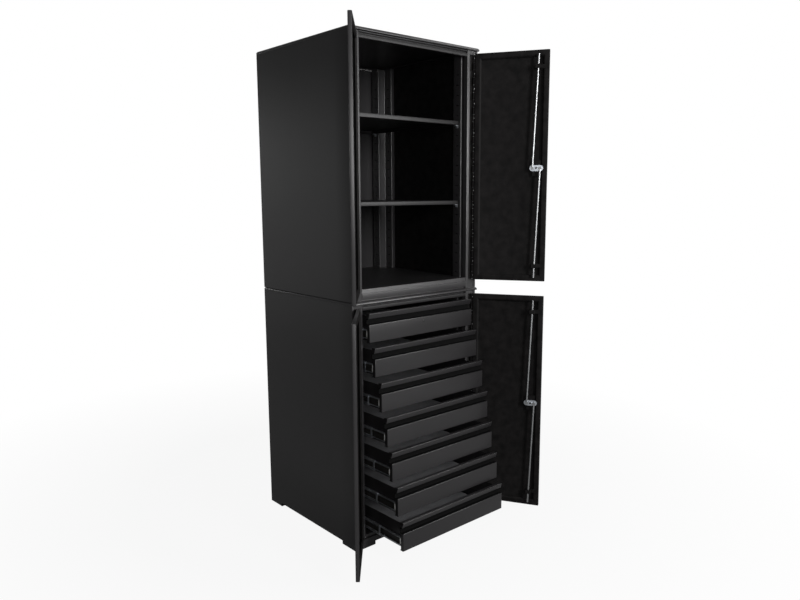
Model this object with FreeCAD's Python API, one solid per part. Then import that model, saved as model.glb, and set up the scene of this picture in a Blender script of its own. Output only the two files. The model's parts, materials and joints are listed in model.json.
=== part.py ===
import FreeCAD, Part
import math
import os

# Two stacked steel cabinets: shelves behind the upper doors, drawers behind the lower ones.
# Millimetres. X runs to the right, Y to the back and Z up.
# The origin is the middle of the back's bottom edge, on the floor.
# "Setback" is a distance behind the front edge of the caps.

# Overall size
width = 680.0
depth = 650.0
cabinet_height = 1000.0

# Sheet metal
sheet = 1.5
door_sheet = 1.2
overrun = 5.0

# Caps and the header folded under them
cap_lip = 12.0
cap_return = 20.0
header_strip = 4.0
header_groove = 6.0
header_groove_depth = 10.0
header_rail = 14.0
header_flange = 13.0

# Side walls and front posts
wall_inset = 1.5
strip_setback = 10.0
strip_width = 11.0
frame_setback = 15.0
post_width = 56.0
jamb_depth = 22.0
flange_width = 20.0

# Upper floor and its sill
upper_sill = 45.5
sill_band_top = 29.0
sill_band_bottom = 6.0
sill_step = 2.0
sill_foot_setback = 10.0

# Lower floor, plinth and feet
lower_sill = 53.0
plinth_height = 38.0
plinth_setback = strip_setback - sheet
notch_height = 15.0
front_foot = 100.0
side_foot = 88.0

# Slotted uprights
upright_inside = 5.5
upright_width = 45.0
upper_upright_setback = 46.0
upright_clearance = 5.5
rear_upright_gap = 105.0
upper_rear_gap = 12.0
shoulder_inset = 40.0
shoulder_width = 47.0
slot_width = 14.0
slot_height = 4.0
slot_pitch = 41.5
slot_end_gap = 70.0
slots_per_drawer = 3

# Shelves and clips
shelf_side_gap = 3.5
shelf_setback = 55.0
shelf_back_gap = 10.0
shelf_lip = 17.0
shelf_hem = 10.0
clip_width = 12.0
clip_thickness = 3.0
clip_reach = 14.0
clip_tail = 6.0
clip_drop = 12.0
clip_hook = 1.8

# Doors
door_thickness = 15.0
door_setback = -3.5
door_axis_inset = 29.0
door_hinge_gap = 6.0
door_middle_gap = 3.0
door_top_gap = 24.5
upper_door_bottom = 37.0
lower_door_bottom = 44.5
door_lip = 20.0
door_return = 5.6
upper_left_open = 130.4
upper_right_open = 121.6
lower_left_open = 130.8
lower_right_open = 119.4

# Long hinges
barrel_radius = 4.5
pin_radius = 2.5
running_clearance = 0.05
knuckle_pitch = 60.0
knuckle_length = 29.0
web_thickness = 3.0
leaf_inner = 12.0
leaf_outer = 11.0
leaf_end_gap = 2.0

# Rod locks, on the right doors
lock_edge_distance = 43.5
spindle_radius = 7.0
stud_radius = 4.0
stud_gap = 0.1
case_half_width = 17.0
case_half_height = 32.0
case_depth = 13.0
cam_throw = 15.5
cam_end_radius = 12.0
cam_thickness = 3.0
cam_gap = 1.5
nut_flats = 13.0
nut_height = 6.0
stud_end = 1.5
rod_radius = 4.0
rod_offset = 11.5
rod_end_gap = 17.0
rod_pin_radius = 3.0
rod_pin_end = 0.4
rod_eye_radius = 5.5
rod_eye_half = 4.6
guide_end_distance = 66.0
guide_plate = 2.0
guide_half_height = 8.0
guide_side_room = 4.4
guide_top_room = 0.6
guide_tail = 5.0
guide_edge_gap = 2.5
hub_radius = 24.0
hub_height = 6.0
hub_gap = 0.3
neck_radius = 10.0
neck_height = 8.0
lever_height = 16.0
lever_half_width = 10.0
lever_reach = 85.0
lever_tail = 12.0
lever_round = 4.0
rod_slot_room = 8.0

# Drawers
drawer_count = 7
drawer_top_gap = 44.5
drawer_bottom_gap = 15.5
drawer_gap = 16.0
grip_gap = 21.0
grip_lip = 22.0
grip_depth = 18.0
lip_hem = 6.0
lip_undercut = 7.0
drawer_side_gap = 3.5
drawer_setback = 37.0
front_side_return = 15.0
tub_back_gap = 48.5
tub_floor_gap = 4.0
tub_above_face = 30.0
drawer_pull_lengths = [59.0, 91.0, 128.0, 160.0, 187.0, 218.0, 248.0]

# Telescopic slides, three nested channels on each side
slide_front_gap = 1.5
slide_drop = 5.0
slide_height = 44.0
slide_sheet = 1.5
slide_play = 0.4
slide_plate_gap = 0.8
outer_flange = 9.0
mid_flange = 8.2
inner_flange = 7.9
slide_thickness = 12.5

# Bolts that tie the two cabinets together
bolt_radius = 5.0
bolt_hole_room = 0.3
bolt_flats = 16.0
bolt_head = 6.5
bolt_nut = 7.0
bolt_inset = 11.5
bolt_front_gap = 150.0
bolt_back_gap = 200.0

# Derived places
front = -depth
half_width = width / 2
wall_x = half_width - wall_inset
wall_in = wall_x - sheet
open_x = half_width - post_width
strip_in = wall_x - strip_width
frame_y = front + frame_setback
jamb_end = frame_y + jamb_depth
lower_top = cabinet_height
upper_top = cabinet_height + cabinet_height
axis_x = half_width - door_axis_inset
axis_y = front + door_setback + door_thickness / 2
door_out = front + door_setback
door_in = door_out + door_thickness
lock_x = door_middle_gap / 2 + lock_edge_distance
rod_y = door_in + rod_offset
cam_y = door_in + cam_gap
upright_face = open_x - upright_inside
shelf_half_width = upright_face - shelf_side_gap
tub_half_width = upright_face - slide_thickness
drawer_half_width = open_x - drawer_side_gap
tub_setback = drawer_setback + grip_depth + sheet
tub_length = depth - tub_setback - tub_back_gap
slide_length = tub_length
lower_upright_setback = tub_setback + upright_clearance
rear_upright_setback = depth - rear_upright_gap - upright_width
upper_rear_setback = depth - upper_rear_gap - upright_width
drawer_stack = lower_top - drawer_top_gap - lower_sill - drawer_bottom_gap
drawer_pitch = (drawer_stack + drawer_gap) / drawer_count
face_height = drawer_pitch - drawer_gap - grip_gap - grip_lip
top_face_height = lower_top - drawer_top_gap - grip_lip - grip_gap
slide_below_face = face_height / 2 + slide_drop
vector = FreeCAD.Vector
up = vector(0, 0, 1)
back = vector(0, 1, 0)


def box(x0, x1, y0, y1, z0, z1):
    """A block between two corners."""
    return Part.makeBox(x1 - x0, y1 - y0, z1 - z0, vector(x0, y0, z0))


def post(radius, x, y, z0, z1):
    """An upright cylinder."""
    return Part.makeCylinder(radius, z1 - z0, vector(x, y, z0), up)


def stud(radius, x, z, y0, y1):
    """A cylinder that runs from front to back."""
    return Part.makeCylinder(radius, y1 - y0, vector(x, y0, z), back)


def hexagon(flats, x, y, z, direction, height):
    """A hexagonal prism that starts at a point."""
    reach = flats / math.sqrt(3)
    points = []
    for corner in range(7):
        turn = math.radians(60 * corner)
        a = reach * math.cos(turn)
        b = reach * math.sin(turn)
        points.append(vector(x + a, y + b, z) if direction == up else vector(x + a, y, z + b))
    return Part.Face(Part.makePolygon(points)).extrude(direction * height)


def bar(section, x0, x1):
    """A bar across the cabinet from a section of Y and Z pairs."""
    points = [vector(x0, y, z) for y, z in section + section[:1]]
    return Part.Face(Part.makePolygon(points)).extrude(vector(x1 - x0, 0, 0))


def fused(shapes):
    """One solid from shapes that touch."""
    return shapes[0].multiFuse(shapes[1:]).removeSplitter()


def mirrored(shape):
    """The same piece on the other side."""
    return shape.mirror(vector(0, 0, 0), vector(1, 0, 0))


def frame_ring(x, y0, y1, z0, z1, inner):
    """A flat ring of sheet with a margin of the given width."""
    hole = box(-x + inner, x - inner, y0 + inner, y1 - inner, z0 - overrun, z1 + overrun)
    return box(-x, x, y0, y1, z0, z1).cut(hole)


def save(node, shapes):
    """Write a node's solids to its file."""
    shape = shapes[0] if len(shapes) == 1 else Part.makeCompound(shapes)
    shape.exportStep("parts/" + node + ".step")


def rod_slot(z0, z1):
    """The room that a lock rod needs through a fold behind the front frame."""
    x0 = lock_x - rod_radius - rod_slot_room
    x1 = lock_x + rod_radius + rod_slot_room
    y0 = rod_y - rod_radius - guide_top_room
    y1 = rod_y + rod_radius + overrun
    return box(x0, x1, y0, y1, z0 - overrun, z1 + overrun)


def bolt_places():
    """Where the joining bolts stand, as pairs of X and Y."""
    x = wall_x - bolt_inset
    return [(way * x, y) for way in (-1, 1) for y in (front + bolt_front_gap, -bolt_back_gap)]


def bolt_holes(z0, z1):
    """Holes for the joining bolts."""
    radius = bolt_radius + bolt_hole_room
    return [post(radius, x, y, z0 - overrun, z1 + overrun) for x, y in bolt_places()]


def cap(top):
    """A lid with a lip all round and the header folded under its front."""
    lip_z = top - cap_lip
    lid = box(-half_width, half_width, front, 0, top - sheet, top)
    skirt = frame_ring(half_width, front, 0, lip_z, top, sheet)
    fold = frame_ring(half_width, front, 0, lip_z, lip_z + sheet, cap_return + sheet)
    strip_z = lip_z - header_strip
    rail_top = strip_z - header_groove
    rail_z = rail_top - header_rail
    face_end = frame_y + sheet
    groove_y = frame_y + header_groove_depth
    groove_end = groove_y + sheet
    strip = box(-open_x, open_x, frame_y, face_end, strip_z, lip_z + sheet)
    groove_top = box(-open_x, open_x, frame_y, groove_end, strip_z, strip_z + sheet)
    groove_back = box(-open_x, open_x, groove_y, groove_end, rail_top - sheet, strip_z + sheet)
    groove_low = box(-open_x, open_x, frame_y, groove_end, rail_top - sheet, rail_top)
    rail = box(-open_x, open_x, frame_y, face_end, rail_z, rail_top)
    flange = box(-open_x, open_x, frame_y, frame_y + header_flange, rail_z, rail_z + sheet)
    flange = flange.cut(rod_slot(rail_z, rail_z + sheet))
    return fused([lid, skirt, fold, strip, groove_top, groove_back, groove_low, rail, flange])


def side(bottom, top):
    """The right side wall, folded at the front into a stepped post."""
    strip_y = front + strip_setback
    z1 = top - cap_lip
    wall = box(wall_in, wall_x, strip_y, -sheet, bottom, z1)
    strip = box(strip_in, wall_x, strip_y, strip_y + sheet, bottom, z1)
    step = box(strip_in, strip_in + sheet, strip_y, frame_y + sheet, bottom, z1)
    rebate = box(open_x, strip_in + sheet, frame_y, frame_y + sheet, bottom, z1)
    jamb = box(open_x, open_x + sheet, frame_y, jamb_end, bottom, z1)
    flange = box(wall_x - flange_width, wall_x, jamb_end, -flange_width, bottom, bottom + sheet)
    return fused([wall, strip, step, rebate, jamb, flange])


def lower_side():
    """The lower right side wall, notched between its feet."""
    y0 = front + strip_setback + side_foot
    notch = box(open_x, half_width, y0, -side_foot, -overrun, notch_height)
    return side(0, lower_top).cut(notch)


def back_panel(bottom, top):
    """The back sheet, with a foot folded forward at its bottom."""
    panel = box(-wall_x, wall_x, -sheet, 0, bottom, top - cap_lip)
    x = wall_x - flange_width
    return fused([panel, box(-x, x, -flange_width, 0, bottom, bottom + sheet)])


def deck(top, y0):
    """A floor sheet between the posts and the side walls, drilled for the lock rod."""
    low = top - sheet
    between = box(-open_x, open_x, y0, jamb_end, low, top)
    behind = box(-wall_in, wall_in, jamb_end, -sheet, low, top)
    return fused([between, behind]).cut(rod_slot(low, top))


def upper_floor():
    """The upper cabinet's floor, with a sill folded down at its front."""
    z0 = lower_top
    band_top = z0 + sill_band_top
    band_low = z0 + sill_band_bottom
    step_y = frame_y + sill_step
    foot_y = frame_y + sill_foot_setback
    top = z0 + upper_sill
    inner = box(-open_x, open_x, step_y, step_y + sheet, band_top - sheet, top)
    step = box(-open_x, open_x, frame_y, step_y + sheet, band_top - sheet, band_top)
    band = box(-open_x, open_x, frame_y, frame_y + sheet, band_low, band_top)
    under = box(-open_x, open_x, frame_y, foot_y + sheet, band_low, band_low + sheet)
    foot = box(-open_x, open_x, foot_y, foot_y + sheet, z0, band_low + sheet)
    return fused([deck(top, step_y), inner, step, band, under, foot])


def lower_floor():
    """The lower cabinet's floor, with a sill and a plinth on two feet at its front."""
    plinth_y = front + plinth_setback
    plinth = box(-wall_x, wall_x, plinth_y, plinth_y + sheet, 0, plinth_height)
    x = wall_x - front_foot
    notch = box(-x, x, plinth_y - overrun, plinth_y + overrun, -overrun, notch_height)
    ledge_z = plinth_height - sheet
    ledge = box(-strip_in, strip_in, plinth_y, frame_y, ledge_z, plinth_height)
    sill = box(-open_x, open_x, frame_y, frame_y + sheet, ledge_z, lower_sill)
    return fused([plinth.cut(notch), ledge, sill, deck(lower_sill, frame_y)])


def slot_total(first_slot, top, pitch):
    """How many slots an upright has."""
    return int((top - slot_end_gap - first_slot) / pitch) + 1


def upright(setback, bottom, top, first_slot, pitch, shoulder=False):
    """A right-hand channel with a row of slots in its face; a shoulder is a lower step in front of it, slotted too."""
    y0 = front + setback
    y1 = y0 + upright_width
    pieces = [box(upright_face, upright_face + sheet, y0, y1, bottom, top),
              box(upright_face, wall_in, y0, y0 + sheet, bottom, top),
              box(upright_face, wall_in, y1 - sheet, y1, bottom, top)]
    rows = [(upright_face, y0 + upright_width / 2)]
    if shoulder:
        x0 = upright_face + shoulder_inset
        near = y0 - shoulder_width
        pieces.append(box(x0, x0 + sheet, near, y0 + sheet, bottom, top))
        pieces.append(box(x0, wall_in, near, near + sheet, bottom, top))
        rows.append((x0, y0 - shoulder_width / 2))
    slots = []
    for x, y in rows:
        for row in range(slot_total(first_slot, top, pitch)):
            z = first_slot + row * pitch - slot_height / 2
            slot_y = y - slot_width / 2
            slots.append(box(x - overrun, x + overrun, slot_y, slot_y + slot_width, z, z + slot_height))
    return fused(pieces).cut(slots)


def slot_height_at(step):
    """The height of a slot's middle in the upper uprights."""
    return upper_first_slot + step * slot_pitch


def shelf_top(step):
    """The height of a shelf whose clips stand in the given slots."""
    return slot_height_at(step) + clip_thickness / 2 + shelf_lip


def shelf(step):
    """A tray-like shelf with lips turned down all round."""
    top = shelf_top(step)
    y0 = front + shelf_setback
    y1 = -shelf_back_gap
    x = shelf_half_width
    plate = box(-x, x, y0, y1, top - sheet, top)
    skirt = frame_ring(x, y0, y1, top - shelf_lip, top, sheet)
    hem = frame_ring(x, y0, y1, top - shelf_lip, top - shelf_lip + sheet, shelf_hem)
    return fused([plate, skirt, hem])


def clip(step, setback):
    """A right-hand shelf clip through an upright's slot."""
    y = front + setback + upright_width / 2
    z1 = slot_height_at(step) + clip_thickness / 2
    y0 = y - clip_width / 2
    y1 = y + clip_width / 2
    x0 = upright_face - clip_reach
    tongue = box(x0, upright_face + clip_tail, y0, y1, z1 - clip_thickness, z1)
    hook = box(upright_face - clip_hook, upright_face, y0, y1, z1 - clip_drop, z1)
    return fused([tongue, hook])


def channel(plate_at, plate_away, flange, half_height, y0, z):
    """A right-hand slide channel; distances run inwards from the uprights' faces."""
    x_plate = upright_face - plate_at
    y1 = y0 + slide_length
    plate = box(x_plate - slide_sheet, x_plate, y0, y1, z - half_height, z + half_height)
    x1 = x_plate if plate_away > 0 else x_plate - slide_sheet + flange
    top = box(x1 - flange, x1, y0, y1, z + half_height - slide_sheet, z + half_height)
    low = box(x1 - flange, x1, y0, y1, z - half_height, z - half_height + slide_sheet)
    return fused([plate, top, low])


def slide_member(level, y0, z):
    """The outer, middle or inner channel of a slide, as level 0, 1 or 2."""
    shrink = level * (slide_sheet + slide_play)
    half_height = slide_height / 2 - shrink
    if level == 0:
        return channel(0, 1, outer_flange, half_height, y0, z)
    if level == 1:
        return channel(slide_sheet + slide_plate_gap, 1, mid_flange, half_height, y0, z)
    return channel(slide_thickness - slide_sheet, -1, inner_flange, half_height, y0, z)


def both(shape):
    """A right-hand piece and its mirror image."""
    return [mirrored(shape), shape]


def face_top(row):
    """The top edge of a drawer's face; row 0 is the top drawer."""
    return top_face_height - row * drawer_pitch


def drawer_front(row):
    """A folded front with a finger groove under a lip that slopes forward."""
    z = face_top(row)
    y0 = front + drawer_setback
    y1 = y0 + grip_depth + sheet
    x = drawer_half_width
    low = z - face_height
    lip_z = z + grip_gap
    top = lip_z + grip_lip
    parts = [box(-x, x, y0, y0 + sheet, low, z)]
    parts.append(box(-x, x, y0, y1, z - sheet, z))
    parts.append(box(-x, x, y1 - sheet, y1, z - sheet, lip_z + sheet))
    parts.append(box(-x, x, y0, y1, top - sheet, top))
    parts.append(box(-x, x, y1 - sheet, y1, top - lip_hem, top))
    slope = sheet * math.hypot(lip_undercut, grip_lip) / grip_lip
    under = y0 + lip_undercut
    parts.append(bar([(under, lip_z), (y0, top), (y0 + slope, top), (under + slope, lip_z)], -x, x))
    parts.append(box(-x, x, under, y1, lip_z, lip_z + sheet))
    for x0 in (-x, x - sheet):
        parts.append(bar([(y1, lip_z), (under, lip_z), (y0, top), (y1, top)], x0, x0 + sheet))
    parts.append(box(-x, x, y0, y1, low, low + sheet))
    for x0 in (-x, x - sheet):
        parts.append(box(x0, x0 + sheet, y0, y0 + front_side_return, low, z))
    return fused(parts)


def drawer_tub(row):
    """An open tray behind a drawer's front."""
    z0 = face_top(row) - face_height + tub_floor_gap
    z1 = face_top(row) + tub_above_face
    y0 = front + tub_setback
    y1 = y0 + tub_length
    x = tub_half_width
    inside = box(-x + sheet, x - sheet, y0 + sheet, y1 - sheet, z0 + sheet, z1 + overrun)
    return box(-x, x, y0, y1, z0, z1).cut(inside)


def wedge_ring(x0, x1, z0, z1, inset):
    """The inward slanting fold round a door's recess."""
    def block(margin):
        far = margin + door_return
        return Part.makeWedge(x0 + far, door_in - door_return, z0 + far, z0 + margin, x0 + margin,
                              x1 - far, door_in, z1 - far, z1 - margin, x1 - margin)
    return block(inset - door_sheet * math.sqrt(2)).cut(block(inset))


def knuckle_total(bottom, top):
    """How many knuckles a door has."""
    return int((top - bottom - knuckle_length) / knuckle_pitch) + 1


def knuckles(count, middle):
    """The heights of a row of hinge knuckles' lower ends."""
    first = middle - (count - 1) * knuckle_pitch / 2 - knuckle_length / 2
    return [first + number * knuckle_pitch for number in range(count)]


def door_pan(bottom, top, locked):
    """A right-hand door, closed: a pan with folded lips and half of the hinge's knuckles."""
    x0 = door_middle_gap / 2
    x1 = axis_x - door_hinge_gap
    wall = door_sheet
    pan = box(x0, x1, door_out, door_in, bottom, top)
    hollow = box(x0 + wall, x1 - wall, door_out + wall, door_in + overrun, bottom + wall, top - wall)
    lip = box(x0, x1, door_in - wall, door_in, bottom, top)
    inner = box(x0 + door_lip, x1 - door_lip, door_in - overrun, door_in + overrun,
                bottom + door_lip, top - door_lip)
    parts = [pan.cut(hollow), lip.cut(inner), wedge_ring(x0, x1, bottom, top, door_lip)]
    middle = (bottom + top) / 2
    for z in knuckles(knuckle_total(bottom, top), middle):
        parts.append(post(barrel_radius, axis_x, axis_y, z, z + knuckle_length))
        parts.append(box(x1 - wall / 2, axis_x, axis_y - web_thickness / 2, axis_y + web_thickness / 2,
                         z, z + knuckle_length))
    bore = post(pin_radius + running_clearance, axis_x, axis_y, bottom - overrun, top + overrun)
    door = fused(parts).cut(bore)
    if locked:
        hole = stud(spindle_radius + running_clearance, lock_x, middle, door_out - overrun, door_in)
        door = door.cut(hole)
    return door


def hinge_leaf(bottom, top):
    """The right-hand leaf on the post, with the other half of the knuckles."""
    middle = (bottom + top) / 2
    leaf_y = frame_y - sheet
    parts = [box(axis_x - leaf_inner, axis_x + leaf_outer, leaf_y, frame_y,
                 bottom + leaf_end_gap, top - leaf_end_gap)]
    for z in knuckles(knuckle_total(bottom, top) - 1, middle):
        parts.append(post(barrel_radius, axis_x, axis_y, z, z + knuckle_length))
        parts.append(box(axis_x - web_thickness / 2, axis_x + web_thickness / 2, axis_y, frame_y,
                         z, z + knuckle_length))
    bore = post(pin_radius + running_clearance, axis_x, axis_y, bottom - overrun, top + overrun)
    return fused(parts).cut(bore)


def hinge_pin(bottom, top):
    """A right-hand hinge pin."""
    return post(pin_radius, axis_x, axis_y, bottom + leaf_end_gap, top - leaf_end_gap)


def lock_fittings(middle, half_door):
    """The lock's case in the door's recess and the two guides for its rods."""
    y0 = door_out + door_sheet
    case = box(lock_x - case_half_width, lock_x + case_half_width, y0, y0 + case_depth,
               middle - case_half_height, middle + case_half_height)
    case = case.cut(stud(spindle_radius + running_clearance, lock_x, middle, y0 - overrun, door_in))
    room = rod_radius + guide_side_room
    leg = room + guide_plate
    bridge = rod_y + rod_radius + guide_top_room
    x0 = door_middle_gap / 2 + guide_edge_gap
    pieces = [case]
    for way in (-1, 1):
        z0 = middle + way * (half_door - guide_end_distance) - guide_half_height
        z1 = z0 + guide_half_height + guide_half_height
        plate_end = door_in + guide_plate
        plate = box(x0, lock_x + leg + guide_tail, door_in, plate_end, z0, z1)
        low = box(lock_x - leg, lock_x - room, door_in, bridge + guide_plate, z0, z1)
        high = box(lock_x + room, lock_x + leg, door_in, bridge + guide_plate, z0, z1)
        over = box(lock_x - leg, lock_x + leg, bridge, bridge + guide_plate, z0, z1)
        pieces.append(fused([plate, low, high, over]))
    return pieces


def lock_cam(middle):
    """The cam plate with its nut, level while the lock is open."""
    y1 = cam_y + cam_thickness
    parts = [box(lock_x - cam_throw, lock_x + cam_throw, cam_y, y1,
                 middle - cam_end_radius, middle + cam_end_radius)]
    for way in (-1, 1):
        parts.append(stud(cam_end_radius, lock_x + way * cam_throw, middle, cam_y, y1))
    parts.append(hexagon(nut_flats, lock_x, y1, middle, back, nut_height))
    plate = fused(parts)
    holes = [stud(stud_radius + stud_gap, lock_x, middle, cam_y - overrun, y1 + nut_height + overrun)]
    for way in (-1, 1):
        holes.append(stud(rod_pin_radius + running_clearance, lock_x + way * cam_throw, middle,
                          cam_y - overrun, y1 + overrun))
    return plate.cut(holes)


def lock_handle(middle):
    """The lever outside the door and the spindle that carries the cam."""
    hub_y = door_out - hub_gap - hub_height
    neck_y = hub_y - neck_height
    lever_y = neck_y - lever_height
    hub = stud(hub_radius, lock_x, middle, hub_y, door_out - hub_gap)
    neck = stud(neck_radius, lock_x, middle, neck_y, hub_y)
    lever = box(lock_x - lever_tail, lock_x + lever_reach, lever_y, neck_y,
                middle - lever_half_width, middle + lever_half_width)
    lever = lever.makeFillet(lever_round, lever.Edges)
    spindle = stud(spindle_radius, lock_x, middle, neck_y, cam_y)
    tail = stud(stud_radius, lock_x, middle, cam_y, cam_y + cam_thickness + nut_height + stud_end)
    neck_root = stud(spindle_radius, lock_x, middle, lever_y + lever_round, neck_y)
    return fused([lever, neck_root, neck, hub, spindle, tail])


def lock_rod(middle, half_door, way):
    """A lock rod that hangs on the cam and leans to its guide; way is 1 for up and -1 for down."""
    pin_x = lock_x + way * cam_throw
    lean = math.atan2(cam_throw, half_door - guide_end_distance)
    rise = half_door - rod_end_gap
    length = rise / math.cos(lean)
    direction = vector(-way * math.sin(lean), 0, way * math.cos(lean))
    rod = Part.makeCylinder(rod_radius, length, vector(pin_x, rod_y, middle), direction)
    eye = stud(rod_eye_radius, pin_x, middle, rod_y - rod_eye_half, rod_y + rod_eye_half)
    pin = stud(rod_pin_radius, pin_x, middle, cam_y - rod_pin_end, rod_y)
    return fused([rod, eye, pin])


def swung(shape, angle):
    """A right-hand door's piece, opened."""
    moved = shape.copy()
    moved.rotate(vector(axis_x, axis_y, 0), up, angle)
    return moved


def bolts():
    """The joining bolts with their nuts."""
    pieces = []
    head_z = lower_top + sheet
    nut_z = lower_top - sheet - bolt_nut
    for x, y in bolt_places():
        shank = post(bolt_radius, x, y, nut_z, head_z)
        head = hexagon(bolt_flats, x, y, head_z, up, bolt_head)
        nut = hexagon(bolt_flats, x, y, nut_z, up, bolt_nut)
        pieces.append(fused([shank, head, nut]))
    return pieces


os.makedirs("parts", exist_ok=True)

# The two carcasses
upper_right = side(lower_top, upper_top).cut(bolt_holes(lower_top, lower_top + sheet))
upper_left = mirrored(side(lower_top, upper_top)).cut(bolt_holes(lower_top, lower_top + sheet))
save("upper_side_left", [upper_left])
save("upper_side_right", [upper_right])
save("upper_back", [back_panel(lower_top, upper_top)])
save("upper_cap", [cap(upper_top)])
save("upper_floor", [upper_floor()])
save("lower_side_left", [mirrored(lower_side())])
save("lower_side_right", [lower_side()])
save("lower_back", [back_panel(0, lower_top)])
save("lower_cap", [cap(lower_top).cut(bolt_holes(lower_top - sheet, lower_top))])
save("lower_floor", [lower_floor()])
save("joining_bolts", bolts())

# Uprights, shelves and clips
upper_deck = lower_top + upper_sill
upper_first_slot = upper_deck + slot_pitch / 2
lower_first_slot = face_top(drawer_count - 1) - slide_below_face
lower_slot_pitch = drawer_pitch / slots_per_drawer
uprights = []
for setback, shoulder in ((upper_upright_setback, False), (upper_rear_setback, True)):
    uprights += both(upright(setback, upper_deck, upper_top - cap_lip, upper_first_slot, slot_pitch, shoulder))
for setback in (lower_upright_setback, rear_upright_setback):
    uprights += both(upright(setback, lower_sill, lower_top - cap_lip, lower_first_slot, lower_slot_pitch))
save("uprights", uprights)
slots = slot_total(upper_first_slot, upper_top - cap_lip, slot_pitch)
shelf_steps = {"shelf_low": slots // 3, "shelf_high": slots // 3 + slots * 2 // 5}
clips = []
for name, step in shelf_steps.items():
    save(name, [shelf(step)])
    for setback in (upper_upright_setback, upper_rear_setback):
        clips += both(clip(step, setback))
save("shelf_clips", clips)

# Doors, hinges and locks
upper_bottom = lower_top + upper_door_bottom
doors = {"upper": (upper_bottom, upper_top - door_top_gap, upper_left_open, upper_right_open),
         "lower": (lower_door_bottom, lower_top - door_top_gap, lower_left_open, lower_right_open)}
leaves = []
pins = []
for name, (bottom, top, left_open, right_open) in doors.items():
    middle = (bottom + top) / 2
    half_door = (top - bottom) / 2
    leaves += both(hinge_leaf(bottom, top))
    pins += both(hinge_pin(bottom, top))
    save(name + "_door_left", [mirrored(swung(door_pan(bottom, top, False), left_open))])
    save(name + "_door_right", [swung(door_pan(bottom, top, True), right_open)])
    save(name + "_lock_fittings", [swung(piece, right_open) for piece in lock_fittings(middle, half_door)])
    save(name + "_lock_cam", [swung(lock_cam(middle), right_open)])
    save(name + "_lock_handle", [swung(lock_handle(middle), right_open)])
    save(name + "_rod_top", [swung(lock_rod(middle, half_door, 1), right_open)])
    save(name + "_rod_bottom", [swung(lock_rod(middle, half_door, -1), right_open)])
save("hinge_leaves", leaves)
save("hinge_pins", pins)

# Drawers and slides
outers = []
for row in range(drawer_count):
    pull = drawer_pull_lengths[row]
    z = face_top(row) - slide_below_face
    y0 = front + tub_setback + slide_front_gap
    node = "drawer_" + str(row + 1)
    out = vector(0, -pull, 0)
    half_out = vector(0, -pull / 2, 0)
    outers += both(slide_member(0, y0, z))
    save(node + "_front", [drawer_front(row).translated(out)])
    save(node + "_tub", [drawer_tub(row).translated(out)])
    save(node + "_runners", [piece.translated(out) for piece in both(slide_member(2, y0, z))])
    save(node + "_mid_slides", [piece.translated(half_out) for piece in both(slide_member(1, y0, z))])
save("slide_outers", outers)
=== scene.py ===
"""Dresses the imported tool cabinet: folded sheet metal, plated hardware, stage and camera."""
import json
import math

import bmesh
import bpy
from mathutils import Matrix, Vector

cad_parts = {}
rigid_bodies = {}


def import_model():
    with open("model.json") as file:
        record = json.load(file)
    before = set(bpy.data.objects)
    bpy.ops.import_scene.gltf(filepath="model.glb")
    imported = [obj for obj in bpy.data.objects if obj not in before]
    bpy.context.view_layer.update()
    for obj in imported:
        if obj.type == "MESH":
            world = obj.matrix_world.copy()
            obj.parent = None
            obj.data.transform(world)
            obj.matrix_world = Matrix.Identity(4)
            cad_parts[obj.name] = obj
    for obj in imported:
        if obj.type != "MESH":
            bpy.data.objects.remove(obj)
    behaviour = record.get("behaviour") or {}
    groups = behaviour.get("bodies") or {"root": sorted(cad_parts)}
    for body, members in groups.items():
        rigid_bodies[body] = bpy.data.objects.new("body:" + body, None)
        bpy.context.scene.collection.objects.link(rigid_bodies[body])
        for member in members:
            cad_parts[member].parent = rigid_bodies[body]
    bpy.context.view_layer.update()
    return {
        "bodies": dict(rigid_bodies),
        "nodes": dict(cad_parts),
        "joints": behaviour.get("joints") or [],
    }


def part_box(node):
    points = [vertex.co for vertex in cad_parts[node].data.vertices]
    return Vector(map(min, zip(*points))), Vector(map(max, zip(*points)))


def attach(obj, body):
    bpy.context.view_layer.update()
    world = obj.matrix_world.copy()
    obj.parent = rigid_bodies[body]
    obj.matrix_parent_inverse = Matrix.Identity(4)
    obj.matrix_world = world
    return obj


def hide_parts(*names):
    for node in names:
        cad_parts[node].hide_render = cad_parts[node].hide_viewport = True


bl_info = {
    "name": "Tool cabinet dresser",
    "version": (1, 0, 0),
    "blender": (4, 5, 0),
    "location": "View3D > Sidebar > Cabinet",
    "description": "Folded sheet metal, plated hardware and a studio for the packed tool cabinet",
    "category": "Object",
}

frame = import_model()
MM = 0.001

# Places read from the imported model, in metres.
CAP_LOW, CAP_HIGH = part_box("upper_cap")
LOWER_CAP_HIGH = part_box("lower_cap")[1]
SIDE_LOW, SIDE_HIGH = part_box("lower_side_right")
UPPER_SIDE_LOW, UPPER_SIDE_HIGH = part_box("upper_side_right")
UPPER_FLOOR_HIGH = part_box("upper_floor")[1]
LOWER_FLOOR_LOW, LOWER_FLOOR_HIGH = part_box("lower_floor")
FRONT = CAP_LOW.y
OPEN_X = SIDE_LOW.x
WALL_X = SIDE_HIGH.x
FRAME_Y = FRONT + 15 * MM
JAMB_END = FRAME_Y + 22 * MM
STRIP_IN = WALL_X - 11 * MM
JOINTS = {joint["name"]: joint for joint in frame["joints"]}
DRAWERS = [name for name in frame["bodies"] if name.startswith("drawer_") and not name.endswith("_mid")]
HALVES = ("upper", "lower")
OPEN_LIMIT = 140.0  # degrees, where every door's hinge ends

# Light that the sky gives to rays other than the camera's, and the floor's share of glow in reflections.
SKY_GLOSSY = 0.12
SKY_DIFFUSE = 0.08
FLOOR_GLOSSY = 0.11


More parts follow.
